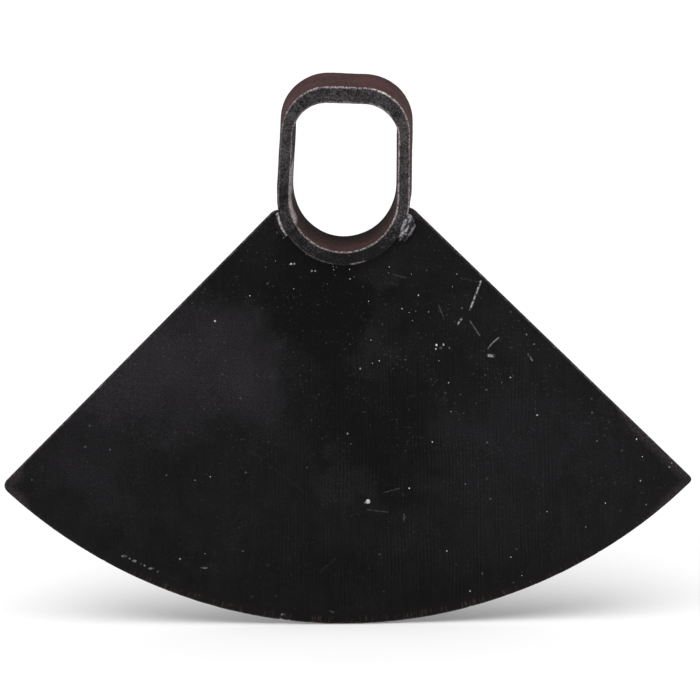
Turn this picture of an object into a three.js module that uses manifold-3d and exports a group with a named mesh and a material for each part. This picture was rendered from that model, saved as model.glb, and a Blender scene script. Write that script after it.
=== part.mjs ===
// Fan-shaped hoe head: a steel blade cut as a quarter of a disc, and a forged oval eye for the handle.
// The eye sits in a notch in the top of the blade and four runs of weld hold it there.
// Millimetres, +Z up. The origin is the centre of the eye, +Y runs along the eye to the rear.
import * as THREE from 'three';
import { mergeVertices } from 'three/addons/utils/BufferGeometryUtils.js';
import Module from 'manifold-3d';

const wasm = await Module();
wasm.setup();

const gap = 0.3;                     // clearance kept between pieces that touch
const overcut = 1;                   // how far a cutting tool runs past the face it cuts
const arcSegments = 18;              // half the facets on each arc of an outline

// Eye: a collar along Y, an oval with a round bottom and a flatter top
const eyeDepth = 30;
const eyeLean = THREE.MathUtils.degToRad(2.4);
const eyeOuter = { bottomRadius: 20.9, bottomZ: -28.2, cornerRadius: 15, topZ: 29, topHalfWidth: 20.4 };
const eyeBore = { bottomRadius: 17, bottomZ: -23.7, cornerRadius: 10.9, topZ: 23.5, topHalfWidth: 16.7 };
const eyeOuterFlare = 1.035;         // width at the rear over width at the front
const eyeBoreTaper = 0.965;

// Blade: a quarter disc whose apex lies inside the eye
const bladeRadius = 156.2;
const bladeHalfAngle = THREE.MathUtils.degToRad(45);
const bladeThickness = 2.5;
const bladeFrontY = -12;             // the eye stands 3 mm proud of this face
const apexX = -0.4;
const apexZ = 11.2;
const shoulderZ = -10.9;             // flat cut across the top of the blade
const shoulderRadius = 3.5;
const tipRadius = 1.5;
const groundWidth = 4;               // cutting edge, ground on the front face only
const groundDepth = 1.5;
const groundSegments = 180;

// Welds: fillets in the corners between the eye and the blade
const frontWeld = { radius: 3, lift: 0.4, from: 13, to: 35 };
const rearWeld = { radius: 3.4, lift: 0.3, from: 15, to: 88.5 };
const weldSides = 16;
const weldSteps = 14;
const coverSize = { width: 90, depth: 12 };   // plate that trims a weld at the blade's face

const bladeRearY = bladeFrontY + bladeThickness;
const eyeBottomZ = eyeOuter.bottomZ + eyeOuter.bottomRadius;

const paint = { black: 0x1c1b1c, forged: 0x37333a, weld: 0x4a4648 };

// Booleans -------------------------------------------------------------

function toSolid(geometry) {
  const bare = geometry.clone();
  bare.deleteAttribute('normal');
  bare.deleteAttribute('uv');
  const merged = mergeVertices(bare, 1e-4);
  const vertProperties = new Float32Array(merged.attributes.position.array);
  const triVerts = new Uint32Array(merged.index.array);
  return new wasm.Manifold(new wasm.Mesh({ numProp: 3, vertProperties, triVerts }));
}

function toGeometry(solid) {
  const mesh = solid.getMesh();
  const geometry = new THREE.BufferGeometry();
  geometry.setAttribute('position', new THREE.BufferAttribute(new Float32Array(mesh.vertProperties), 3));
  geometry.setIndex(new THREE.BufferAttribute(new Uint32Array(mesh.triVerts), 1));
  geometry.computeVertexNormals();
  return geometry;
}

// Eye ------------------------------------------------------------------

// Outline of a round bottom and two top corners, joined by straight tangents and grown by `grow`.
function ovalShape(oval, grow) {
  const bottomR = oval.bottomRadius + grow;
  const cornerR = oval.cornerRadius + grow;
  const bottomZ = oval.bottomZ + oval.bottomRadius;
  const cornerX = oval.topHalfWidth - oval.cornerRadius;
  const cornerZ = oval.topZ - oval.cornerRadius;
  const span = Math.hypot(cornerX, cornerZ - bottomZ);
  const tangent = Math.atan2(cornerZ - bottomZ, cornerX) - Math.acos((bottomR - cornerR) / span);
  const shape = new THREE.Shape();
  shape.absarc(0, bottomZ, bottomR, Math.PI - tangent, 2 * Math.PI + tangent, false);
  shape.absarc(cornerX, cornerZ, cornerR, tangent, Math.PI / 2, false);
  shape.absarc(-cornerX, cornerZ, cornerR, Math.PI / 2, Math.PI - tangent, false);
  return shape;
}

// A shape drawn in X and Z, extruded along +Y from y0 and widened evenly to `flare` at the eye's rear.
function extrudeAlongY(shape, y0, depth, flare = 1) {
  const options = { depth, bevelEnabled: false, curveSegments: arcSegments };
  const geometry = new THREE.ExtrudeGeometry(shape, options);
  geometry.rotateX(Math.PI / 2);
  geometry.translate(0, y0 + depth, 0);
  const position = geometry.attributes.position;
  for (let i = 0; i < position.count; i += 1) {
    const along = (position.getY(i) + eyeDepth / 2) / eyeDepth;
    position.setX(i, position.getX(i) * (1 + (flare - 1) * along));
  }
  return geometry;
}

// The whole oval as a plug, leaning as the eye does and running `beyond` past both of its ends.
function eyePlug(oval, flare, grow, beyond) {
  const shape = ovalShape(oval, grow);
  const plug = extrudeAlongY(shape, -eyeDepth / 2 - beyond, eyeDepth + 2 * beyond, flare);
  plug.rotateY(eyeLean);
  return toSolid(plug);
}

function eyeRing() {
  const bore = eyePlug(eyeBore, eyeBoreTaper, 0, overcut);
  return eyePlug(eyeOuter, eyeOuterFlare, 0, 0).subtract(bore);
}

// Blade ----------------------------------------------------------------

// Point at a distance from the apex, the angle measured from straight down towards +X.
function fromApex(radius, angle) {
  return new THREE.Vector2(apexX + radius * Math.sin(angle), apexZ - radius * Math.cos(angle));
}

function bladeShape() {
  const down = -Math.PI / 2;
  const tipInset = Math.asin(tipRadius / (bladeRadius - tipRadius));
  const tip = bladeHalfAngle - tipInset;
  const right = fromApex(bladeRadius - tipRadius, tip);
  const left = fromApex(bladeRadius - tipRadius, -tip);
  const shoulderHalfWidth = (apexZ - shoulderZ) * Math.tan(bladeHalfAngle);
  const shoulderX = shoulderHalfWidth - shoulderRadius * Math.tan((Math.PI / 2 - bladeHalfAngle) / 2);
  const shoulderCentreZ = shoulderZ - shoulderRadius;
  const leftNormal = Math.PI - bladeHalfAngle;
  const shape = new THREE.Shape();
  shape.absarc(apexX + shoulderX, shoulderCentreZ, shoulderRadius, Math.PI / 2, bladeHalfAngle, true);
  shape.absarc(right.x, right.y, tipRadius, bladeHalfAngle, down + tip, true);
  shape.absarc(apexX, apexZ, bladeRadius, down + tip, down - tip, true);
  shape.absarc(left.x, left.y, tipRadius, down - tip, leftNormal - 2 * Math.PI, true);
  shape.absarc(apexX - shoulderX, shoulderCentreZ, shoulderRadius, leftNormal, Math.PI / 2, true);
  return shape;
}

// Ring of waste that leaves the ground cutting edge, turned about the apex.
function grindingWaste() {
  const slope = groundDepth / groundWidth;
  const inner = bladeRadius - groundWidth;
  const profile = [
    new THREE.Vector2(inner - overcut / slope, bladeFrontY - overcut),
    new THREE.Vector2(bladeRadius + overcut, bladeFrontY - overcut),
    new THREE.Vector2(bladeRadius + overcut, bladeFrontY + slope * (groundWidth + overcut)),
    new THREE.Vector2(inner - overcut / slope, bladeFrontY - overcut),
  ];
  const waste = new THREE.LatheGeometry(profile, groundSegments);
  waste.translate(apexX, 0, apexZ);
  return toSolid(waste);
}

function bladePlate() {
  return toSolid(extrudeAlongY(bladeShape(), bladeFrontY, bladeThickness));
}

// Welds ----------------------------------------------------------------

// Round bar bent along the eye's lower curve, in the corner between the eye and the blade.
// Angles are degrees below the horizontal, `side` is -1 for the left and +1 for the right.
function weldBar(weld, faceY, side) {
  const width = 1 + (eyeOuterFlare - 1) * ((faceY + eyeDepth / 2) / eyeDepth);
  const points = [];
  for (let i = 0; i <= weldSteps; i += 1) {
    const angle = THREE.MathUtils.degToRad(weld.from + (weld.to - weld.from) * (i / weldSteps));
    const radius = eyeOuter.bottomRadius + weld.lift;
    const x = side * radius * width * Math.cos(angle);
    const z = eyeBottomZ - radius * Math.sin(angle);
    points.push(new THREE.Vector3(x, faceY, z));
  }
  const section = new THREE.Shape();
  section.absarc(0, 0, weld.radius, 0, 2 * Math.PI, false);
  const bar = new THREE.ExtrudeGeometry(section, {
    steps: weldSteps * 2,
    extrudePath: new THREE.CatmullRomCurve3(points),
    curveSegments: weldSides / 2,
  });
  bar.rotateY(eyeLean);
  return toSolid(bar);
}

// Broad plate on one side of the blade's face, which takes away the part of a bar inside the blade.
function coverPlate(faceY, side) {
  const plate = new THREE.BoxGeometry(coverSize.width, coverSize.depth, coverSize.width);
  plate.translate(0, faceY + side * (coverSize.depth / 2 - gap), eyeBottomZ);
  return toSolid(plate);
}

const grownEye = eyePlug(eyeOuter, eyeOuterFlare, gap, gap);

function frontFillet(side) {
  return weldBar(frontWeld, bladeFrontY, side).subtract(grownEye).subtract(coverPlate(bladeFrontY, 1));
}

function rearFillet(side) {
  return weldBar(rearWeld, bladeRearY, side).subtract(grownEye).subtract(coverPlate(bladeRearY, -1));
}

// Assembly -------------------------------------------------------------

const hoeHead = new THREE.Group();

function addPiece(name, solid, color, roughness, metalness) {
  const material = new THREE.MeshStandardMaterial({ color, roughness, metalness });
  const mesh = new THREE.Mesh(toGeometry(solid), material);
  mesh.name = name;
  hoeHead.add(mesh);
}

addPiece('eye_ring', eyeRing(), paint.forged, 0.6, 0.3);
addPiece('blade', bladePlate().subtract(grownEye).subtract(grindingWaste()), paint.black, 0.45, 0.3);
addPiece('weld_front_left', frontFillet(-1), paint.weld, 0.55, 0.5);
addPiece('weld_front_right', frontFillet(1), paint.weld, 0.55, 0.5);
addPiece('weld_rear_left', rearFillet(-1), paint.weld, 0.55, 0.5);
addPiece('weld_rear_right', rearFillet(1), paint.weld, 0.55, 0.5);

export default hoeHead;
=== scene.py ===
import math
import random
import bmesh
import bpy
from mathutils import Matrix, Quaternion, Vector, noise


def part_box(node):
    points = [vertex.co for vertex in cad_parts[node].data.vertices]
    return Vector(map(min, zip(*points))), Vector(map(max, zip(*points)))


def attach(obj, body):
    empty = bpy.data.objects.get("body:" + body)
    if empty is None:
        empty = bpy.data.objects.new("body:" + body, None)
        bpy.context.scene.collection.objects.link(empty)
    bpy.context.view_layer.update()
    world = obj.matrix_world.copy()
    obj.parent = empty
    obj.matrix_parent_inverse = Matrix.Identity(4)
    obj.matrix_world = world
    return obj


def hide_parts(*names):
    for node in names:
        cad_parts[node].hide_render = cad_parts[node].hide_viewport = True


# Fan-shaped hoe head: a painted quarter-disc blade welded to a forged oval eye.
# Metres, +Z up, the origin at the centre of the eye, the camera on the -Y side.

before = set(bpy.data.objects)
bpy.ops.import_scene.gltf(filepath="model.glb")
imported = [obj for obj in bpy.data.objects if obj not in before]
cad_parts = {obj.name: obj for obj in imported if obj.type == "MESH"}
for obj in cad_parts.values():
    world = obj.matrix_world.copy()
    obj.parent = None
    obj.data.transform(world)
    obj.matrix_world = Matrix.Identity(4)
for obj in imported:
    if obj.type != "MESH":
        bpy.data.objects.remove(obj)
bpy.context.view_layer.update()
mm = 0.001
bladeLow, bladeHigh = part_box("blade")
eyeLow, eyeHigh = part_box("eye_ring")
print("frame loaded:", ", ".join(sorted(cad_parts)))


# small helpers

def smooth(low, high, value):
    t = min(max((value - low) / (high - low), 0), 1)
    return t * t * (3 - 2 * t)


def blendValue(a, b, t):
    return a + (b - a) * t


def grain(point, size, octaves=3):
    # soft noise from about -1 to 1, its lumps `size` metres across
    return noise.fractal(point / size, 1.0, 2.0, octaves, noise_basis="PERLIN_ORIGINAL")


def stepsAlong(steps):
    # for each grid line, which stretch it lies in and how far along it
    found = []
    for index, count in enumerate(steps):
        found += [(index, k / count) for k in range(count)]
    return found + [(len(steps) - 1, 1.0)]


def finishPiece(name, bm, node, material):
    mesh = bpy.data.meshes.new(name)
    bm.to_mesh(mesh)
    bm.free()
    mesh.polygons.foreach_set("use_smooth", [True] * len(mesh.polygons))
    mesh.materials.append(material)
    piece = bpy.data.objects.new(name, mesh)
    bpy.context.scene.collection.objects.link(piece)
    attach(piece, "root")
    if node:
        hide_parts(node)
    print(f"{name}: {len(mesh.vertices)} vertices")
    return piece


# material helpers: most add shader nodes and give back the output that the next one reads

def startMaterial(name):
    material = bpy.data.materials.new(name)
    material.use_nodes = True
    material.node_tree.nodes.clear()
    return material, material.node_tree


def addNode(tree, kind, inputs, output=0, **settings):
    # gives back one output, or the whole node when output is None
    made = tree.nodes.new(kind)
    for key, value in settings.items():
        setattr(made, key, value)
    for key, value in inputs.items():
        if isinstance(value, bpy.types.NodeSocket):
            tree.links.new(value, made.inputs[key])
        else:
            made.inputs[key].default_value = value
    return made.outputs[output] if output is not None else made


def maths(tree, operation, a, b=0.0):
    return addNode(tree, "ShaderNodeMath", {0: a, 1: b}, operation=operation)


def times(tree, value, *others):
    for other in others:
        value = maths(tree, "MULTIPLY", value, other)
    return value


def fade(tree, value, low, high, start=0.0, end=1.0):
    # eases from start to end while the value goes from low to high
    inputs = {"Value": value, "From Min": low, "From Max": high, "To Min": start, "To Max": end}
    return addNode(tree, "ShaderNodeMapRange", inputs, interpolation_type="SMOOTHSTEP")


def inMillimetres(tree, stretch=(1, 1, 1)):
    place = addNode(tree, "ShaderNodeTexCoord", {}, output=3)
    return addNode(tree, "ShaderNodeMapping", {"Vector": place, "Scale": [1000 * s for s in stretch]})


def noiseValue(tree, place, size, detail=3.0, roughness=0.5, output=0):
    inputs = {"Vector": place, "Scale": 1 / size, "Detail": detail, "Roughness": roughness}
    return addNode(tree, "ShaderNodeTexNoise", inputs, output)


def vectorMaths(tree, operation, a, b, output=0):
    return addNode(tree, "ShaderNodeVectorMath", {0: a, 1: b}, output, operation=operation)


def splitPlace(tree, place):
    # x, y and z of a place
    return addNode(tree, "ShaderNodeSeparateXYZ", {0: place}, output=None).outputs


def polar(tree, place, centre):
    # angle in radians from straight down, and distance in mm, seen from the front
    x, y, z = splitPlace(tree, vectorMaths(tree, "SUBTRACT", place, centre / mm))
    turn = maths(tree, "ARCTAN2", x, times(tree, z, -1))
    squares = maths(tree, "ADD", times(tree, x, x), times(tree, z, z))
    return turn, maths(tree, "SQRT", squares)


def dots(tree, place, spacing, radius, share, dimensions="3D"):
    # round dots of uneven strength scattered one to a cell, on a share of the cells
    cell = {"Vector": place, "Scale": 1 / spacing}
    away = addNode(tree, "ShaderNodeTexVoronoi", cell, voronoi_dimensions=dimensions)
    tint = addNode(tree, "ShaderNodeTexVoronoi", cell, 1, voronoi_dimensions=dimensions)
    pick = addNode(tree, "ShaderNodeSeparateColor", {0: tint}, output=None).outputs
    kept = maths(tree, "LESS_THAN", pick[0], share)
    spot = fade(tree, away, radius / spacing, 0.4 * radius / spacing)
    return times(tree, spot, kept, fade(tree, pick[1], 0, 1, 0.25, 1))


def blendColour(tree, factor, under, over):
    made = tree.nodes.new("ShaderNodeMix")
    made.data_type = "RGBA"
    for key, value in ((0, factor), (6, under), (7, over)):
        if isinstance(value, bpy.types.NodeSocket):
            tree.links.new(value, made.inputs[key])
        else:
            made.inputs[key].default_value = value if key == 0 else (*value, 1)
    return made.outputs[2]


def attributeValue(tree, name):
    return addNode(tree, "ShaderNodeAttribute", {}, output=2, attribute_name=name)


def closeMaterial(material, tree, colour, rough, height, metal, look):
    normal = addNode(tree, "ShaderNodeBump", {"Height": height, "Strength": look["bumpStrength"],
                                              "Distance": look["bumpDepth"]})
    inputs = {"Base Color": colour, "Roughness": rough, "Metallic": metal, "Normal": normal,
              "Specular IOR Level": look["specular"]}
    surface = addNode(tree, "ShaderNodeBsdfPrincipled", inputs)
    addNode(tree, "ShaderNodeOutputMaterial", {"Surface": surface}, output=None)
    return material


# camera, lights and floor

studio = {
    "target": (0.97 * mm, 0, -58.2 * mm),
    "distance": 2.0,
    "azimuth": 0.7,               # degrees towards +X
    "elevation": 10.7,
    "roll": -0.68,
    "lens": 321.9,
    "floorColour": (0.86, 0.86, 0.86),
    "skyStrength": 0.47,
    # where each lamp stands, how wide it looks in degrees, and its strength
    "lamps": {"mainLamp": ((-0.16, -0.80, 1.75), 64, 2.8)},
}


def facing(place, target):
    # the turn that points a camera or a lamp at the target
    return (Vector(place) - Vector(target)).to_track_quat("Z", "Y")


def addCamera():
    azimuth = math.radians(studio["azimuth"])
    elevation = math.radians(studio["elevation"])
    across = math.cos(elevation)
    back = Vector((math.sin(azimuth) * across, -math.cos(azimuth) * across, math.sin(elevation)))
    data = bpy.data.cameras.new("view")
    data.lens = studio["lens"]
    data.clip_start = 0.05
    data.clip_end = 50
    camera = bpy.data.objects.new("view", data)
    target = Vector(studio["target"])
    camera.location = target + back * studio["distance"]
    camera.rotation_mode = "QUATERNION"
    roll = Quaternion((0, 0, 1), math.radians(studio["roll"]))
    camera.rotation_quaternion = facing(camera.location, target) @ roll
    bpy.context.scene.collection.objects.link(camera)
    bpy.context.scene.camera = camera


def addLamp(name, place, width, strength):
    data = bpy.data.lights.new(name, "SUN")
    data.angle = math.radians(width)
    data.energy = strength
    lamp = bpy.data.objects.new(name, data)
    lamp.location = place
    lamp.rotation_mode = "QUATERNION"
    lamp.rotation_quaternion = facing(place, studio["target"])
    bpy.context.scene.collection.objects.link(lamp)


def addFloor():
    bm = bmesh.new()
    bmesh.ops.create_grid(bm, x_segments=2, y_segments=2, size=12)
    bmesh.ops.translate(bm, verts=bm.verts, vec=(0, 0, bladeLow.z - 0.5 * mm))
    mesh = bpy.data.meshes.new("floor")
    bm.to_mesh(mesh)
    bm.free()
    material, tree = startMaterial("floorPaper")
    inputs = {"Base Color": (*studio["floorColour"], 1), "Roughness": 0.9, "Specular IOR Level": 0.1}
    surface = addNode(tree, "ShaderNodeBsdfPrincipled", inputs)
    addNode(tree, "ShaderNodeOutputMaterial", {"Surface": surface}, output=None)
    mesh.materials.append(material)
    floor = bpy.data.objects.new("floor", mesh)
    bpy.context.scene.collection.objects.link(floor)


def addSky():
    world = bpy.data.worlds.new("sky")
    world.use_nodes = True
    background = world.node_tree.nodes["Background"]
    background.inputs["Color"].default_value = (1, 1, 1, 1)
    background.inputs["Strength"].default_value = studio["skyStrength"]
    bpy.context.scene.world = world
    bpy.context.scene.view_settings.view_transform = "Standard"


addCamera()
for lampName, lampSetting in studio["lamps"].items():
    addLamp(lampName, *lampSetting)
addFloor()
addSky()
print("camera, lamps and floor are in place")


# blade: a grid laid out by angle and distance from the apex, rounded at its rim and thickened

blade = {
    "radius": 156.2 * mm,
    "halfAngle": 45,
    "shoulderZ": {-1: -10.9 * mm, 1: -10.4 * mm},    # left and right
    "shoulderRadius": {-1: 3.5 * mm, 1: 4.5 * mm},
    "tipRadius": {-1: 2.6 * mm, 1: 1.4 * mm},
    "notchRadius": 20.7 * mm,        # just inside the eye's outer wall
    "notchCentreZ": -7.3 * mm,
    "roundover": 0.4 * mm,
    "groundWidth": 4.0 * mm,         # cutting edge, ground on the front
    "groundDepth": 1.45 * mm,
    "groundWander": 0.12,            # how unevenly wide the band is
    "groundMarks": 0.03 * mm,
    "thinnest": 0.6 * mm,            # steel left at the cutting edge
    "columns": 380,
    "rowSize": 2.2 * mm,
    "fineRowSize": 0.45 * mm,
    "sag": 0.4 * mm,                 # how far the middle of the edge bows past a true arc
    "waviness": 0.25 * mm,
    "dents": 0.03 * mm,
    "edgeNibble": 0.03 * mm,
    # chips out of the cutting edge: angle in degrees, width and depth in mm
    "chips": [(-30, 0.6, 0.12), (-7.9, 0.9, 0.32), (-7.0, 0.6, 0.2), (-1.6, 0.5, 0.12), (14.5, 0.7, 0.15),
              (31, 0.6, 0.12)],
}
eyeLean = Quaternion((0, 1, 0), math.radians(2.4))
rimLadder = [d * mm for d in (0, 0.05, 0.12, 0.22, 0.4, 0.75, 1.3, 2.1)]    # distances in from a rim
apex = Vector(((bladeLow.x + bladeHigh.x) / 2, 0, bladeLow.z + blade["radius"]))


def notchReach(angle):
    # distance from the apex to the U of the notch, along a ray
    away = apex - eyeLean @ Vector((0, 0, blade["notchCentreZ"]))
    along = away.dot(Vector((math.sin(angle), 0, -math.cos(angle))))
    return -along + math.sqrt(along ** 2 - away.length_squared + blade["notchRadius"] ** 2)


def topReach(angle):
    shoulder = blade["shoulderZ"][1 if angle > 0 else -1]
    return max(notchReach(angle), (apex.z - shoulder) / math.cos(angle))


def edgeLadder():
    # distances in from the cutting edge, close together over the ground band
    steps = list(rimLadder)
    while steps[-1] < blade["groundWidth"] + 1.5 * mm:
        steps.append(steps[-1] + blade["fineRowSize"])
    return steps


def ladderPlace(index, fromStart, middle, fromEnd, length):
    # distance along a line of this length: close steps at both ends and even ones between
    if index < len(fromStart):
        return fromStart[index]
    index -= len(fromStart)
    if index < middle - 1:
        free = length - fromStart[-1] - fromEnd[-1]
        return fromStart[-1] + free * (index + 1) / middle
    return length - fromEnd[len(fromEnd) - 1 - (index - (middle - 1))]


def bladeCorners():
    # centre, radius and the two outward normals at each tip and shoulder
    half = math.radians(blade["halfAngle"])
    corners = []
    for side in (-1, 1):
        edgeNormal = Vector((side * math.cos(half), 0, math.sin(half)))
        radius = blade["tipRadius"][side]
        tip = half - math.asin(radius / (blade["radius"] - radius))
        outward = Vector((side * math.sin(tip), 0, -math.cos(tip)))
        corners.append((apex + outward * (blade["radius"] - radius), edgeNormal, outward, radius))
        radius = blade["shoulderRadius"][side]
        reach = (apex.z - blade["shoulderZ"][side]) * math.tan(half)
        inset = radius * math.tan((math.pi / 2 - half) / 2)
        centre = Vector((apex.x + side * (reach - inset), 0, blade["shoulderZ"][side] - radius))
        corners.append((centre, edgeNormal, Vector((0, 0, 1)), radius))
    return corners


def roundOff(point, centre, normalA, normalB, radius):
    # pulls a point near a sharp corner on to the rounded one
    away = point - centre
    between = normalA.cross(normalB).y
    outside = away.cross(normalA).y * between > 0 or away.cross(normalB).y * between < 0
    if outside or not 0 < away.length < 2 * radius:
        return point
    reach = max(away.dot(normalA), away.dot(normalB))
    return centre + away * (reach / away.length)


def chipDepth(angle):
    # how far the cutting edge is worn back at this angle
    worn = 0.0
    for where, width, depth in blade["chips"]:
        off = math.radians(angle - where) * blade["radius"] / (width * mm)
        worn += depth * mm * math.exp(-2.2 * off * off)
    return worn


def roundDrop(distance, radius):
    # drop of a rounded edge below the flat, at a distance from the rim
    if distance >= radius:
        return 0.0
    return radius - math.sqrt(max(radius ** 2 - (radius - distance) ** 2, 0))


def buildBlade(material):
    fromEdge = edgeLadder()
    free = blade["radius"] - topReach(0) - rimLadder[-1] - fromEdge[-1]
    middle = round(free / blade["rowSize"])
    rows = len(rimLadder) + middle - 1 + len(fromEdge) - 1
    inner = blade["columns"] - 2 * (len(rimLadder) - 1)
    half = math.radians(blade["halfAngle"])
    corners = bladeCorners()
    bm = bmesh.new()
    rimLayer = bm.verts.layers.float.new("rimDistance")
    bmesh.ops.create_grid(bm, x_segments=blade["columns"], y_segments=rows, size=1)
    for v in bm.verts:
        column = round((v.co.x + 1) / 2 * blade["columns"])
        row = round((v.co.y + 1) / 2 * rows)
        share = min(max((column - len(rimLadder) + 1) / inner, 0), 1)
        angle = blendValue(-half, half, share)
        # the first and last columns run parallel to the straight edges, the others fan out from the apex
        for _ in range(2):
            top = topReach(angle)
            radius = top + ladderPlace(row, rimLadder, middle, fromEdge, blade["radius"] - top)
            fromSide = min(column, blade["columns"] - column)
            sideGap = rimLadder[min(fromSide, len(rimLadder) - 1)]
            widest = half - math.asin(sideGap / radius)
            side = -1 if column < blade["columns"] / 2 else 1
            angle = side * widest if fromSide < len(rimLadder) else blendValue(-widest, widest, share)
        point = apex + radius * Vector((math.sin(angle), 0, -math.cos(angle)))
        sideGap = radius * math.sin(half - abs(angle))
        v[rimLayer] = min(sideGap, blade["radius"] - radius, radius - top) / mm
        for corner in corners:
            point = roundOff(point, *corner)
        v.co = point
    made = bmesh.ops.extrude_face_region(bm, geom=bm.faces[:], use_keep_orig=True)
    rear = {item for item in made["geom"] if isinstance(item, bmesh.types.BMVert)}
    for v in bm.verts:
        shapeBladePoint(v, v[rimLayer] * mm, v in rear)
    bmesh.ops.recalc_face_normals(bm, faces=bm.faces)
    return finishPiece("bladePlate", bm, "blade", material)


def shapeBladePoint(v, rim, isRear):
    # gives a point of the flat outline its depth, and bends the plate and its edge a little
    place = v.co - apex
    outward = place.normalized()
    angle = math.degrees(math.atan2(place.x, -place.z))
    edgeGap = blade["radius"] - place.length
    ground = blade["groundWidth"] * (1 + blade["groundWander"] * grain(v.co, 9 * mm))
    drop = roundDrop(rim, blade["roundover"])
    if isRear:
        y = bladeHigh.y - drop
    elif edgeGap < ground:
        slope = blade["groundDepth"] / blade["groundWidth"]
        marks = blade["groundMarks"] * grain(Vector((angle * 3.5, 0, edgeGap / (9 * mm))), 1.0)
        y = bladeLow.y + (ground - edgeGap) * slope + marks + 0.4 * drop
        y = min(y, bladeHigh.y - blade["thinnest"])
    else:
        y = bladeLow.y + drop
    nibble = blade["edgeNibble"] * grain(v.co + Vector((0, 7, 0)), 2.5 * mm) * smooth(3 * mm, 0, edgeGap)
    bow = blade["sag"] * smooth(28, 4, abs(angle + 2)) * smooth(60 * mm, 0, edgeGap)
    wave = blade["waviness"] * grain(v.co, 55 * mm, 2) * smooth(0, 30 * mm, place.length - 34 * mm)
    v.co += outward * (bow + nibble - chipDepth(angle) * smooth(2.2 * mm, 0, edgeGap))
    v.co.y = y + wave + blade["dents"] * grain(v.co, 7 * mm)


paintLook = {
    "deep": (0.0023, 0.0021, 0.0021),
    "pale": (0.0258, 0.0232, 0.0268),      # powdery bloom on the black, and the colour of the painted reflection haze
    "dust": (0.13, 0.12, 0.125),
    "steel": (0.45, 0.43, 0.43),
    "rust": (0.068, 0.046, 0.044),
    "rubbedRim": (0.070, 0.055, 0.058),
    "groundTone": (0.0052, 0.0042, 0.0036),
    "specular": 0.07,
    "bumpStrength": 0.5,
    "bumpDepth": 0.0001,
    "tone": -0.31,                         # how pale the paint is before the patches below are added
    "clouds": 0.22,
    "mottle": 0.26,
    "patches": 0.26,
    "ribs": 0.10,
    "streaks": 0.18,
    "raggedness": 36,                      # how far the borders of the painted haze, painted shade and dust patches wander, in mm
    "ribSpacing": 1.15,
    "ribWobble": 2.5,
    "ribArea": (24, -98, 52, 50, 0.8),     # an ellipse, its columns as in the haze and shade patches below
    "fleckStrength": 0.42,
    "wornReach": 0.75,                     # width of the brown rim in mm
    # where that rim is wider: an ellipse as in the haze and shade patches below, and how many mm wider
    "wornSpots": [(100, -92, 20, 16, 0.8, 3.0), (-107, -100, 9, 6, 0.8, 3.5), (21.5, -11.5, 4, 3, 0.8, 2.5)],
    # painted reflection haze where paler, painted shade where darker (most of all under the eye and down the
    # middle), and a few dust smudges just below the eye: x and z of the middle, half width and half height
    # in mm, softness, and how much paler
    "sheenShadeAndDust": [(-60, -62, 24, 18, 1.6, 0.42), (-29, -58, 11, 19, 1.0, 0.24), (-56, -84, 52, 36, 0.8, 0.04),
                (-82, -97, 14, 8, 1.0, 0.10), (-48, -92, 22, 16, 1.0, -0.08), (-8, -38, 34, 12, 1.4, -0.12),
                (-8, -40, 15, 13, 1.3, -0.14), (-1, -64, 8, 26, 1.2, -0.14), (14, -86, 12, 20, 1.2, -0.20),
                (8, -62, 6, 10, 0.8, 0.10), (30, -60, 15, 20, 1.0, -0.09), (33, -66, 42, 36, 1.0, 0.06),
                (64, -96, 46, 28, 0.8, 0.06), (-10, -84, 8, 30, 0.8, -0.08), (-3, -98, 9, 9, 0.5, 0.11),
                (0, -134, 60, 10, 1.0, -0.06), (3, -31, 15, 4, 1.2, 0.12), (14, -27, 7, 6, 1.2, 0.10)],
    # scratches: x and z of both ends and half the width in mm, and how bright
    "scratches": [((42.9, -33.9), (39.3, -43.4), 0.42, 1.0), ((36.9, -45.9), (35.3, -48.0), 0.45, 0.7),
                  ((39.2, -46.8), (42.5, -51.9), 0.3, 0.25), ((48.5, -52.3), (46.3, -54.1), 0.36, 0.5),
                  ((46.3, -54.1), (44.9, -56.1), 0.36, 0.4), ((44.8, -58.1), (47.0, -58.3), 0.65, 1.0),
                  ((57.5, -57.7), (59.1, -60.0), 0.36, 0.4), ((29.3, -41.6), (31.1, -46.1), 0.26, 0.15),
                  ((36.2, -33.0), (42.3, -34.4), 0.25, 0.06), ((5.9, -107.8), (12.6, -108.7), 0.28, 0.09),
                  ((11.1, -102.4), (16.5, -100.9), 0.28, 0.08), ((17.7, -109.0), (17.7, -111.8), 0.34, 0.16),
                  ((-9.3, -127.9), (-4.3, -123.8), 0.3, 0.035), ((-31, -88), (-13.5, -102.2), 0.5, 0.01),
                  ((14.6, -31.6), (19.4, -32.9), 0.22, 0.10), ((14.2, -34.6), (16.6, -35.1), 0.22, 0.09)],
    # chipped flecks near the edge: x, z, half length and half width in mm
    "flecks": [(-71.9, -122.3, 0.9, 0.34), (-70.2, -123.1, 0.4, 0.3), (-68.6, -123.9, 0.8, 0.4),
               (-66.6, -124.9, 0.35, 0.3), (-65.4, -125.4, 0.3, 0.3), (-63.4, -126.4, 0.9, 0.32),
               (-61.2, -127.4, 0.3, 0.3), (-46.3, -126.3, 1.0, 0.3), (-21.4, -142.1, 0.6, 0.45),
               (-5.3, -141.3, 0.38, 0.34)],
}


def scratchMask(tree, place, start, end, width):
    # 1 along a straight line and 0 beside it
    a, b = Vector((start[0], 0, start[1])), Vector((end[0], 0, end[1]))
    along = (b - a).normalized()
    fromMiddle = vectorMaths(tree, "SUBTRACT", place, (a + b) / 2)
    run = vectorMaths(tree, "DOT_PRODUCT", fromMiddle, along, 1)
    off = vectorMaths(tree, "DOT_PRODUCT", fromMiddle, (along.z, 0, -along.x), 1)
    half = (b - a).length / 2
    inside = fade(tree, maths(tree, "ABSOLUTE", run), half + 0.2, half - 0.3)
    return times(tree, fade(tree, maths(tree, "ABSOLUTE", off), width, 0.1), inside)


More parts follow.
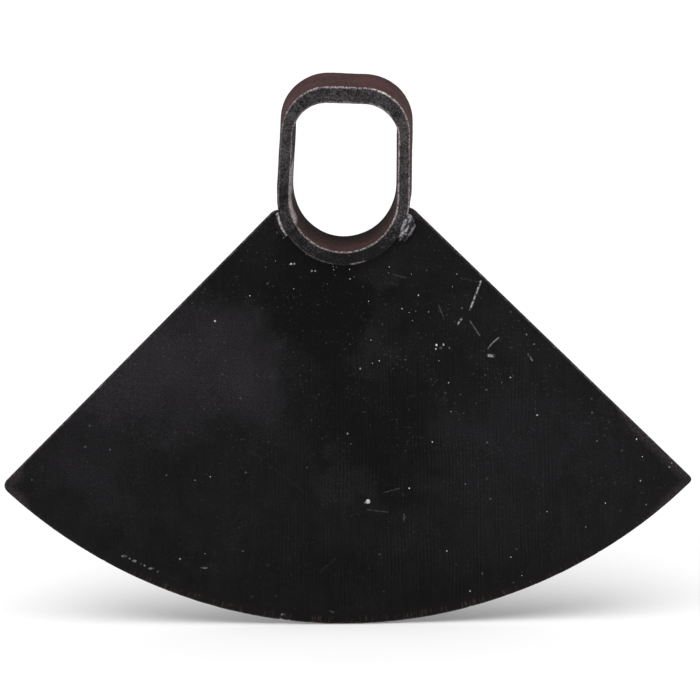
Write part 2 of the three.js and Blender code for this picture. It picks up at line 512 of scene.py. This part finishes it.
def ellipseMask(tree, place, x, z, halfWidth, halfHeight, softness):
    # 1 inside an upright ellipse on the blade's face and 0 outside
    away = vectorMaths(tree, "SUBTRACT", place, (x, 0, z))
    scaled = vectorMaths(tree, "MULTIPLY", away, (1 / halfWidth, 0, 1 / halfHeight))
    size = vectorMaths(tree, "LENGTH", scaled, (0, 0, 0), 1)
    return fade(tree, size, 1 + softness / 2, 1 - softness / 2)


def total(tree, start, masks):
    # adds strength times mask for each pair
    value = start
    for mask, strength in masks:
        value = addNode(tree, "ShaderNodeMath", {0: mask, 1: strength, 2: value}, operation="MULTIPLY_ADD")
    return value


def bladeMaterial():
    look = paintLook
    material, tree = startMaterial("wornBlackPaint")
    place = inMillimetres(tree)
    x, y, z = splitPlace(tree, place)
    face = addNode(tree, "ShaderNodeCombineXYZ", {0: x, 1: z})
    rim = attributeValue(tree, "rimDistance")

    # ragged copy of the coordinates, for soft borders that aren't true ellipses
    drift = vectorMaths(tree, "SUBTRACT", noiseValue(tree, place, 14, 6, 0.65, output=1), (0.5, 0.5, 0.5))
    drift = vectorMaths(tree, "MULTIPLY", drift, [look["raggedness"]] * 3)
    ragged = vectorMaths(tree, "ADD", place, drift)
    clouds = noiseValue(tree, place, 26, 4)
    mottle = noiseValue(tree, place, 5, 5, 0.65)
    skin = noiseValue(tree, place, 0.5, 3, 0.7)
    patches = noiseValue(tree, ragged, 9, 4, 0.6)

    # upright rolling marks, strongest low on the right
    wobble = times(tree, noiseValue(tree, place, 24, 2), look["ribWobble"])
    phase = times(tree, maths(tree, "ADD", x, wobble), 2 * math.pi / look["ribSpacing"])
    patchy = fade(tree, noiseValue(tree, inMillimetres(tree, (1, 1, 0.15)), 4, 3), 0.38, 0.66)
    ribs = times(tree, maths(tree, "SINE", phase), patchy, ellipseMask(tree, place, *look["ribArea"]))
    streaks = noiseValue(tree, inMillimetres(tree, (1, 1, 0.04)), 0.7, 2, 0.6)

    # black paint with a paler bloom, painted reflection haze and painted shade from the listed patches,
    # which keeps a little of its grain where it is darkest
    masks = [(ellipseMask(tree, ragged, *ellipse), paler) for *ellipse, paler in look["sheenShadeAndDust"]]
    masks += [(clouds, look["clouds"]), (mottle, look["mottle"]), (patches, look["patches"]),
              (ribs, look["ribs"]), (streaks, look["streaks"])]
    tone = times(tree, total(tree, look["tone"], masks), fade(tree, skin, 0.28, 0.72, 0.4, 1.6))
    tone = addNode(tree, "ShaderNodeMath", {0: tone, 1: 0.0, 2: 0.16}, operation="SMOOTH_MAX")
    colour = blendColour(tree, tone, look["deep"], look["pale"])

    # the ground band is rubbed brown, with fine marks across it
    turn, radius = polar(tree, place, apex)
    edgeGap = maths(tree, "SUBTRACT", blade["radius"] / mm, radius)
    middle = fade(tree, maths(tree, "ABSOLUTE", turn), 0.62, 0.3, 0.25, 1)
    band = times(tree, fade(tree, edgeGap, 4.3, 3.7), middle)
    alongEdge = times(tree, turn, 156)     # in mm
    unrolled = addNode(tree, "ShaderNodeCombineXYZ", {0: alongEdge, 1: edgeGap})
    combed = addNode(tree, "ShaderNodeMapping", {"Vector": unrolled, "Scale": (1.5, 0.12, 1)})
    combs = noiseValue(tree, combed, 1.0)
    colour = blendColour(tree, times(tree, band, 0.6), colour, look["groundTone"])
    worn = times(tree, fade(tree, combs, 0.50, 0.66), fade(tree, edgeGap, 2.6, 1.2),
                 fade(tree, mottle, 0.42, 0.56), band)
    colour = blendColour(tree, times(tree, worn, 0.75), colour, look["rust"])

    # dust: ragged faint flecks in drifts, and a thin scatter of clear points
    drifts = fade(tree, noiseValue(tree, place, 12, 5, 0.7), 0.42, 0.60, 0.1, 1)
    faint = times(tree, fade(tree, noiseValue(tree, place, 0.85, 2, 0.6), 0.60, 0.74), drifts,
                  fade(tree, z, -120, -80, 0.4, 1))
    clear = times(tree, dots(tree, face, 8.5, 0.46, 0.36, "2D"), fade(tree, clouds, 0.40, 0.56))
    speck = maths(tree, "MAXIMUM", times(tree, faint, 0.26), times(tree, clear, 0.5))
    colour = blendColour(tree, speck, colour, look["dust"])

    # scratches and flecks of bare steel, broken up, on the front face only
    marks = [times(tree, scratchMask(tree, place, *line), bright) for *line, bright in look["scratches"]]
    for fleck in look["flecks"]:
        marks.append(times(tree, ellipseMask(tree, place, *fleck, 0.6), look["fleckStrength"]))
    scratch = 0.0
    for mark in marks:
        scratch = maths(tree, "MAXIMUM", mark, scratch)
    broken = fade(tree, noiseValue(tree, place, 0.8, 3, 0.6), 0.38, 0.56, 0.02, 0.8)
    scratch = times(tree, scratch, broken, fade(tree, y, -10.4, -11.4))
    colour = blendColour(tree, scratch, colour, look["steel"])

    # wear: brown where the paint thins towards the rim, and bare steel on it
    spots = [(ellipseMask(tree, place, *ellipse), wider) for *ellipse, wider in look["wornSpots"]]
    reach = total(tree, look["wornReach"], spots)
    thin = times(tree, fade(tree, maths(tree, "DIVIDE", rim, reach), 1.0, 0.1),
                 fade(tree, skin, 0.38, 0.64, 0.12, 1))
    colour = blendColour(tree, times(tree, thin, 0.5), colour, look["rubbedRim"])
    chipped = fade(tree, noiseValue(tree, place, 1.6, 4, 0.7), 0.52, 0.64)
    bare = times(tree, fade(tree, rim, 0.40, 0.10), chipped)
    colour = blendColour(tree, times(tree, bare, 0.22), colour, look["steel"])

    rough = fade(tree, mottle, 0.25, 0.75, 0.46, 0.62)
    relief = total(tree, 0.0, [(skin, 0.45), (ribs, 0.12), (streaks, 0.2), (speck, 0.6), (scratch, -0.8),
                               (combs, 0.2)])
    metal = times(tree, maths(tree, "MAXIMUM", bare, scratch), 0.5)
    return closeMaterial(material, tree, colour, rough, relief, metal, look)


buildBlade(bladeMaterial())


# eye: an oval collar, its wall a rounded rectangle carried round the oval

eye = {
    "outer": {"bottomRadius": 20.9, "bottomZ": -28.2, "cornerRadius": 15, "topZ": 29, "topHalfWidth": 20.4},
    "bore": {"bottomRadius": 17, "bottomZ": -23.7, "cornerRadius": 10.9, "topZ": 23.5,
             "topHalfWidth": 16.7},
    "outerFlare": 1.035,               # width at the rear over width at the front
    "boreTaper": 0.965,
    "wall": 4.3,                       # mean thickness, for the size of the rounded edges
    "edgeRadius": 0.5,
    "aroundSteps": [160, 42, 60, 24, 60, 42],
    "sectionSteps": [20, 5, 40, 5, 12, 5, 44, 5],
    "crowd": 1.4,                      # draws the walls' steps towards the front edge
    "forging": 0.16 * mm,
    "pitting": 0.05 * mm,
    # edges rubbed to steel, and bands of painted highlight on the bore and outer walls: from and to in
    # degrees round the bottom's centre, width in mm, strength
    "rubbedAndHighlight": {
        "bore": [(-4, 22, 6, 0.55), (22, 56, 8, 0.72), (62, 150, 0.4, 0.34), (148, 182, 27, 0.72),
                 (181, 208, 14, 1.0), (208, 330, 0.3, 0.38), (332, 356, 1.0, 0.95)],
        "outer": [(-12, 50, 0.5, 0.40), (50, 132, 0.3, 0.42), (62, 78, 0.4, 0.75), (132, 188, 0.3, 0.14),
                  (216, 262, 0.3, 0.09), (279, 290, 0.4, 0.62)],
    },
    "wornDepth": 0.22 * mm,
}
# centre of the round bottom of the eye's outside, before the eye leans
toeCentre = Vector((0, 0, (eye["outer"]["bottomZ"] + eye["outer"]["bottomRadius"]) * mm))


def ovalPoint(oval, stretch, share):
    # x and z on an outline of a round bottom and two top corners joined by tangents, in mm
    bottomZ = oval["bottomZ"] + oval["bottomRadius"]
    cornerX = oval["topHalfWidth"] - oval["cornerRadius"]
    cornerZ = oval["topZ"] - oval["cornerRadius"]
    span = math.hypot(cornerX, cornerZ - bottomZ)
    lean = math.acos((oval["bottomRadius"] - oval["cornerRadius"]) / span)
    tangent = math.atan2(cornerZ - bottomZ, cornerX) - lean
    bottom = (0, bottomZ, oval["bottomRadius"])
    right = (cornerX, cornerZ, oval["cornerRadius"])
    left = (-cornerX, cornerZ, oval["cornerRadius"])
    ends = [
        (bottom, math.pi - tangent, bottom, 2 * math.pi + tangent),
        (bottom, tangent, right, tangent),
        (right, tangent, right, math.pi / 2),
        (right, math.pi / 2, left, math.pi / 2),
        (left, math.pi / 2, left, math.pi - tangent),
        (left, math.pi - tangent, bottom, math.pi - tangent),
    ]
    arcA, angleA, arcB, angleB = ends[stretch]
    x, z, radius = (blendValue(a, b, share) for a, b in zip(arcA, arcB))
    angle = blendValue(angleA, angleB, share)
    return Vector((x + radius * math.cos(angle), z + radius * math.sin(angle)))


def sectionPoint(stretch, share):
    # share of the wall from bore to outside, and depth from the front, on a rounded rectangle in mm
    wall, radius = eye["wall"], eye["edgeRadius"]
    depth = (eyeHigh.y - eyeLow.y) / mm
    sine, cosine = (radius * f(share * math.pi / 2) for f in (math.sin, math.cos))
    across = blendValue(radius, wall - radius, share)
    places = [
        (across, 0),
        (wall - radius + sine, radius - cosine),
        (wall, blendValue(radius, depth - radius, share ** eye["crowd"])),
        (wall - radius + cosine, depth - radius + sine),
        (wall - across, depth),
        (radius - sine, depth - radius + cosine),
        (0, blendValue(radius, depth - radius, (1 - share) ** eye["crowd"])),
        (radius - cosine, radius - sine),
    ]
    thickness, y = places[stretch]
    return thickness / wall, y


def rubbedAndHighlightAt(thickness, depth, angle):
    # how strongly a place on the section and round the eye is rubbed to steel and painted with highlight
    most = 0.0
    for wall, bands in eye["rubbedAndHighlight"].items():
        inward = (thickness if wall == "bore" else 1 - thickness) * eye["wall"]
        edge = smooth(0.7, 0.25, inward)
        for start, end, width, strength in bands:
            middle, half = (start + end) / 2, (end - start) / 2
            off = abs((angle - middle + 180) % 360 - 180)
            near = smooth(half + 3, half - 3, off) * smooth(width, 0.6 * width, depth)
            most = max(most, strength * near * edge)
    return most


def buildEye(material):
    around = stepsAlong(eye["aroundSteps"])
    section = stepsAlong(eye["sectionSteps"])
    bm = bmesh.new()
    wallLayer = bm.verts.layers.float.new("wallSide")
    paintedShadeLayer = bm.verts.layers.float.new("paintedShade")
    rubbedAndHighlightLayer = bm.verts.layers.float.new("rubbedAndHighlight")
    bmesh.ops.create_grid(bm, x_segments=len(around) - 1, y_segments=len(section) - 1, size=1)
    for v in bm.verts:
        turn = around[round((v.co.x + 1) / 2 * (len(around) - 1))]
        stretch, share = section[round((v.co.y + 1) / 2 * (len(section) - 1))]
        thickness, depth = sectionPoint(stretch, share)
        along = depth * mm / (eyeHigh.y - eyeLow.y)
        outer, bore = ovalPoint(eye["outer"], *turn), ovalPoint(eye["bore"], *turn)
        outer.x *= blendValue(1, eye["outerFlare"], along)
        bore.x *= blendValue(1, eye["boreTaper"], along)
        flat = bore.lerp(outer, thickness)
        angle = math.degrees(math.atan2(flat.y - toeCentre.z / mm, flat.x))
        v.co = eyeLean @ Vector((flat.x * mm, blendValue(eyeLow.y, eyeHigh.y, along), flat.y * mm))
        # bare steel where the edges are rubbed, and painted highlight on the walls and edges
        v[rubbedAndHighlightLayer] = rubbedAndHighlightAt(thickness, depth, angle)
        v[wallLayer] = 1.0 if stretch in (2, 6) else (0.5 if stretch % 2 else 0.0)    # walls, edges, ends
        # painted shade: low and towards the rear in the bore, and low on the outside walls, higher up on the
        # left
        inBore = smooth(0.15, 1, along) * smooth(-6, -18, flat.y)
        outside = smooth(12, -2, flat.y) if flat.x < 0 else smooth(-10, -17, flat.y)
        v[paintedShadeLayer] = blendValue(inBore, outside, thickness)
    bmesh.ops.remove_doubles(bm, verts=bm.verts, dist=0.002 * mm)
    bmesh.ops.recalc_face_normals(bm, faces=bm.faces)
    bm.normal_update()
    moves = []
    for v in bm.verts:
        lump = eye["forging"] * grain(v.co, 14 * mm, 2)
        pit = eye["pitting"] * grain(v.co + Vector((3, 0, 0)), 1.1 * mm, 2) * (1.0 - 0.6 * v[wallLayer])
        worn = eye["wornDepth"] * v[rubbedAndHighlightLayer] * (1.0 if v[wallLayer] == 0.5 else 0.3)
        moves.append((v, v.normal * (lump + pit - worn)))
    for v, move in moves:
        v.co += move
    return finishPiece("eyeCollar", bm, "eye_ring", material)


eyeLook = {
    "black": (0.0035, 0.0032, 0.0033),
    "grey": (0.095, 0.086, 0.090),
    "brown": (0.064, 0.0285, 0.0275),
    "darkBrown": (0.040, 0.019, 0.0185),
    "pale": (0.22, 0.20, 0.21),
    "steel": (0.80, 0.71, 0.72),
    "dullSteel": (0.20, 0.15, 0.155),
    "specular": 0.12,
    "bumpStrength": 0.7,
    "bumpDepth": 0.00015,
}


def eyeMaterial():
    look = eyeLook
    material, tree = startMaterial("forgedEyeFinish")
    place = inMillimetres(tree)
    x, y, z = splitPlace(tree, place)
    onWall = fade(tree, attributeValue(tree, "wallSide"), 0.3, 0.8)
    scale = noiseValue(tree, place, 0.6, 4, 0.75)
    mottle = noiseValue(tree, place, 1.6, 4, 0.7)
    broad = noiseValue(tree, place, 11, 2)

    # front face: black scale broken by pale grains, darker low down
    low = fade(tree, z, -12, -22)
    mixed = total(tree, -1.31, [(scale, 1.90), (mottle, 1.05), (broad, 0.55), (low, -0.26)])
    colour = blendColour(tree, fade(tree, mixed, 0.12, 1.05), look["black"], look["grey"])

    # walls: thin brown rust, darkened by painted shade deep and low in the bore and low on the outside walls
    streaks = noiseValue(tree, inMillimetres(tree, (1, 0.12, 1)), 1.2, 3, 0.6)
    stain = total(tree, -0.6, [(broad, 1.0), (mottle, 0.5), (streaks, 0.7)])
    stained = blendColour(tree, fade(tree, stain, 0.30, 0.70), look["darkBrown"], look["brown"])
    shade = times(tree, attributeValue(tree, "paintedShade"), 0.85)
    stained = blendColour(tree, shade, stained, look["black"])
    colour = blendColour(tree, onWall, colour, stained)
    speck = times(tree, dots(tree, place, 1.1, 0.26, 0.45), 0.45)
    colour = blendColour(tree, speck, colour, look["pale"])

    # edges rubbed back to steel, unevenly, and painted highlights on the bore walls and edges in the same
    # bright steel
    uneven = fade(tree, total(tree, -0.5, [(scale, 1.0), (mottle, 1.0)]), 0.32, 0.62, 0.35, 1)
    bare = times(tree, attributeValue(tree, "rubbedAndHighlight"), uneven)
    steelTone = blendColour(tree, fade(tree, scale, 0.38, 0.60), look["dullSteel"], look["steel"])
    colour = blendColour(tree, bare, colour, steelTone)
    rough = maths(tree, "MAXIMUM", fade(tree, scale, 0.3, 0.7, 0.66, 0.48), times(tree, onWall, 0.9))
    rough = maths(tree, "SUBTRACT", rough, times(tree, bare, 0.3))
    relief = total(tree, 0.0, [(scale, 0.8), (mottle, 0.5), (bare, 0.2)])
    return closeMaterial(material, tree, colour, rough, relief, times(tree, bare, 0.5), look)


buildEye(eyeMaterial())


# welds: overlapping coins of metal laid along the corner, joined into one lumpy bead

# each run: which face and side of the blade, from and to in degrees below the horizontal, size of a coin
# and gap between coins in mm, jitter as a share, how far it runs outside the eye and above the blade's
# face, and its bands of rubbed metal and painted highlight, as mm outside the eye, half width and strength
welds = {
    "weld_front_left": {
        "face": -1, "side": -1, "from": 15, "to": 34, "coin": 2.2, "gap": 0.9, "jitter": 0.08,
        "lift": 0.8, "rise": 0.1, "shine": [(0.2, 1.2, 1.05), (3.0, 0.6, 0.5)], "seed": 4,
    },
    "weld_front_right": {
        "face": -1, "side": 1, "from": 13, "to": 33, "coin": 2.8, "gap": 1.0, "jitter": 0.14,
        "lift": 0.8, "rise": 1.0, "shine": [(0.3, 2.2, 0.70), (2.8, 1.0, 0.62)], "seed": 9,
    },
    "weld_rear_left": {
        "face": 1, "side": -1, "from": 16, "to": 90, "coin": 2.4, "gap": 1.15, "jitter": 0.06,
        "lift": 0.5, "rise": 0.45, "shine": [(0.5, 2.4, 0.35)], "seed": 2,
    },
    "weld_rear_right": {
        "face": 1, "side": 1, "from": 16, "to": 91, "coin": 2.4, "gap": 1.15, "jitter": 0.06,
        "lift": 0.5, "rise": 0.45, "shine": [(0.5, 2.4, 0.35)], "seed": 7,
    },
}
bead = {"squash": 0.5, "tilt": 25, "endSize": 0.45, "voxel": 0.2 * mm, "smoothing": 3, "grain": 0.06 * mm}


def buildWeld(node, weld, material):
    # a coin is a squashed ball standing across the run and leaning back along it
    draw = random.Random(weld["seed"])
    bedY = (bladeLow.y if weld["face"] < 0 else bladeHigh.y) + weld["face"] * weld["rise"] * mm
    radius = (eye["outer"]["bottomRadius"] + weld["lift"]) * mm
    count = round(math.radians(weld["to"] - weld["from"]) * radius / (weld["gap"] * mm))
    bm = bmesh.new()
    for i in range(count + 1):
        below = math.radians(blendValue(weld["from"], weld["to"], i / count))
        outward = Vector((weld["side"] * math.cos(below), 0, -math.sin(below)))
        along = Vector((-weld["side"] * math.sin(below), 0, -math.cos(below)))
        swell = 1 + weld["jitter"] * draw.uniform(-1, 1)
        taper = blendValue(bead["endSize"], 1, smooth(-0.5, 3, min(i, count - i)))
        size = weld["coin"] * mm * swell * taper
        coin = bmesh.ops.create_icosphere(bm, subdivisions=3, radius=size)["verts"]
        bmesh.ops.scale(bm, vec=(bead["squash"], 1, 1), verts=coin)
        tilt = Quaternion((0, 0, 1), math.radians(bead["tilt"] * draw.uniform(0.7, 1.3)))
        turn = along.to_track_quat("X", "Y") @ tilt
        bmesh.ops.rotate(bm, cent=(0, 0, 0), matrix=turn.to_matrix(), verts=coin)
        centre = toeCentre + outward * (radius + draw.uniform(-1, 1) * weld["jitter"] * mm)
        bmesh.ops.translate(bm, verts=coin, vec=centre + Vector((0, bedY, 0)))
    bmesh.ops.rotate(bm, cent=(0, 0, 0), matrix=eyeLean.to_matrix(), verts=bm.verts)
    piece = finishPiece(node.replace("weld_", "bead_"), bm, node, material)
    joinBead(piece, weld)


def joinBead(piece, weld):
    # one skin over all the coins, then a fine grain and the mask of rubbed metal and painted highlight
    remesh = piece.modifiers.new("joined", "REMESH")
    remesh.mode = "VOXEL"
    remesh.voxel_size = bead["voxel"]
    remesh.use_smooth_shade = True
    soften = piece.modifiers.new("softened", "SMOOTH")
    soften.factor = 0.5
    soften.iterations = bead["smoothing"]
    bpy.context.view_layer.update()
    skin = bpy.data.meshes.new_from_object(piece.evaluated_get(bpy.context.evaluated_depsgraph_get()))
    piece.modifiers.clear()
    piece.data = skin
    centre = eyeLean @ toeCentre
    rubbedAndHighlight = skin.attributes.new("rubbedAndHighlight", "FLOAT", "POINT")
    for v, value in zip(skin.vertices, rubbedAndHighlight.data):
        v.co += v.normal * bead["grain"] * grain(v.co, 1.0 * mm, 2)
        reach = math.hypot(v.co.x - centre.x, v.co.z - centre.z) / mm - eye["outer"]["bottomRadius"]
        value.value = max(strength * smooth(width, 0.3 * width, abs(reach - middle))
                          for middle, width, strength in weld["shine"])
    print(f"{piece.name}: {len(skin.vertices)} vertices when joined")


weldLook = {
    "scale": (0.0032, 0.003, 0.0032),
    "bright": (0.55, 0.52, 0.55),
    "grey": (0.045, 0.042, 0.045),
    "specular": 0.12,
    "bumpStrength": 0.6,
    "bumpDepth": 0.00012,
}


def weldMaterial():
    look = weldLook
    material, tree = startMaterial("weldBeadFinish")
    place = inMillimetres(tree)
    rubbedAndHighlight = attributeValue(tree, "rubbedAndHighlight")
    fine = noiseValue(tree, place, 0.6, 3, 0.65)
    turn, radius = polar(tree, place, eyeLean @ toeCentre)
    run = addNode(tree, "ShaderNodeCombineXYZ", {0: times(tree, turn, 7), 1: radius})
    streaks = noiseValue(tree, run, 0.8, 3, 0.6)
    grey = times(tree, fade(tree, fine, 0.40, 0.65), fade(tree, rubbedAndHighlight, 0, 0.5, 0.15, 1))
    colour = blendColour(tree, grey, look["scale"], look["grey"])
    # bright rubbed metal, and painted highlights along the crests and lumps
    shine = fade(tree, total(tree, -1.10, [(streaks, 1.5), (fine, 0.8), (rubbedAndHighlight, 0.5)]), 0.20, 0.75)
    shine = times(tree, shine, rubbedAndHighlight)
    colour = blendColour(tree, shine, colour, look["bright"])
    rough = fade(tree, shine, 0, 1, 0.60, 0.38)
    return closeMaterial(material, tree, colour, rough, fine, times(tree, shine, 0.4), look)


weldFinish = weldMaterial()
for weldName, weldSpec in welds.items():
    buildWeld(weldName, weldSpec, weldFinish)


# spatter: beads of weld metal and flecks of paint stuck to the blade

spatter = {
    "seed": 12,
    "scattered": 26,
    "smallest": 0.10,
    "largest": 0.26,
    "reach": 24,                     # how far from the eye the scattered ones lie, in mm
    # how much bright metal and painted highlight the scattered and the placed beads show
    "scatteredShine": (0.6, 1.3),
    "placedShine": (0.55, 1.2),
    "placedScale": 0.88,
    # the clear ones: x and z, and radius before the scale, in mm
    "placed": [(-17.2, -28.0, 0.50), (-16.2, -28.0, 0.36), (-10.7, -30.3, 0.44), (-9.6, -30.3, 0.44),
               (-25.3, -29.0, 0.26), (-16.5, -36.0, 0.24), (-12.4, -24.9, 0.22), (23.0, -38.5, 0.26),
               (20.0, -44.0, 0.22), (4.3, -62.0, 0.36), (8.2, -60.3, 0.22), (10.4, -59.5, 0.30),
               (18.6, -59.2, 0.24), (32.3, -66.8, 0.34), (41.0, -73.4, 0.36), (33.0, -76.2, 0.20),
               (37.0, -76.7, 0.24), (60.4, -77.6, 0.36), (49.3, -67.0, 0.26), (52.0, -65.3, 0.28),
               (0.0, -83.0, 0.34), (1.0, -86.3, 0.22), (27.0, -86.0, 0.24), (-13.0, -94.0, 0.26),
               (37.4, -99.7, 0.26), (19.5, -101.0, 0.30), (57.2, -51.5, 0.32), (59.6, -54.7, 0.34),
               (28.6, -54.6, 0.50), (28.4, -55.9, 0.40), (29.9, -55.6, 0.62), (30.8, -54.5, 0.45),
               (32.7, -55.5, 0.36), (29.3, -59.7, 0.22), (6.3, -105.2, 0.75), (5.4, -105.6, 0.4),
               (31.3, -121.6, 0.28), (38.6, -134.7, 0.40), (-54.0, -123.4, 0.38), (92.0, -85.7, 0.38),
               (93.8, -91.4, 0.28), (102.4, -94.8, 0.36), (103.2, -93.6, 0.28), (93.2, -99.3, 0.30),
               (95.0, -107.0, 0.28), (75.7, -114.1, 0.26), (51.7, -123.8, 0.28), (55.2, -129.8, 0.24),
               (82.0, -106.4, 0.24), (63.4, -109.0, 0.24), (-48.8, -97.7, 0.28), (-43.9, -96.6, 0.30),
               (-46.0, -121.7, 0.30), (-41.6, -46.2, 0.40), (-41.6, -48.0, 0.34),
               (-3.9, -29.0, 0.24), (-2.9, -29.2, 0.22), (1.4, -33.0, 0.26), (1.3, -29.9, 0.24),
               (-19.4, -19.4, 0.34), (13.6, -31.2, 0.24)],
}


def buildSpatter(material):
    draw = random.Random(spatter["seed"])
    beads = []
    for x, z, size in spatter["placed"]:
        beads.append((x, z, spatter["placedScale"] * size, draw.uniform(*spatter["placedShine"])))
    for _ in range(spatter["scattered"]):
        below = math.radians(draw.uniform(15, 165))
        reach = eye["outer"]["bottomRadius"] + 2 + spatter["reach"] * draw.random() ** 1.5
        size = blendValue(spatter["smallest"], spatter["largest"], draw.random() ** 2)
        x, z = reach * math.cos(below), toeCentre.z / mm - reach * math.sin(below)
        if abs(x - apex.x / mm) < apex.z / mm - z - 2:      # on the blade
            beads.append((x, z, size, draw.uniform(*spatter["scatteredShine"])))
    bm = bmesh.new()
    rubbedAndHighlightLayer = bm.verts.layers.float.new("rubbedAndHighlight")
    for x, z, size, shine in beads:
        ball = bmesh.ops.create_icosphere(bm, subdivisions=2, radius=size * mm)["verts"]
        bmesh.ops.scale(bm, vec=(draw.uniform(0.8, 1.2), 0.7, draw.uniform(0.8, 1.3)), verts=ball)
        bmesh.ops.translate(bm, verts=ball, vec=(x * mm, bladeLow.y, z * mm))
        # each bead's share of bright metal and painted highlight
        for v in ball:
            v[rubbedAndHighlightLayer] = shine
    return finishPiece("weldSpatter", bm, None, material)


buildSpatter(weldFinish)
print("every piece is built")
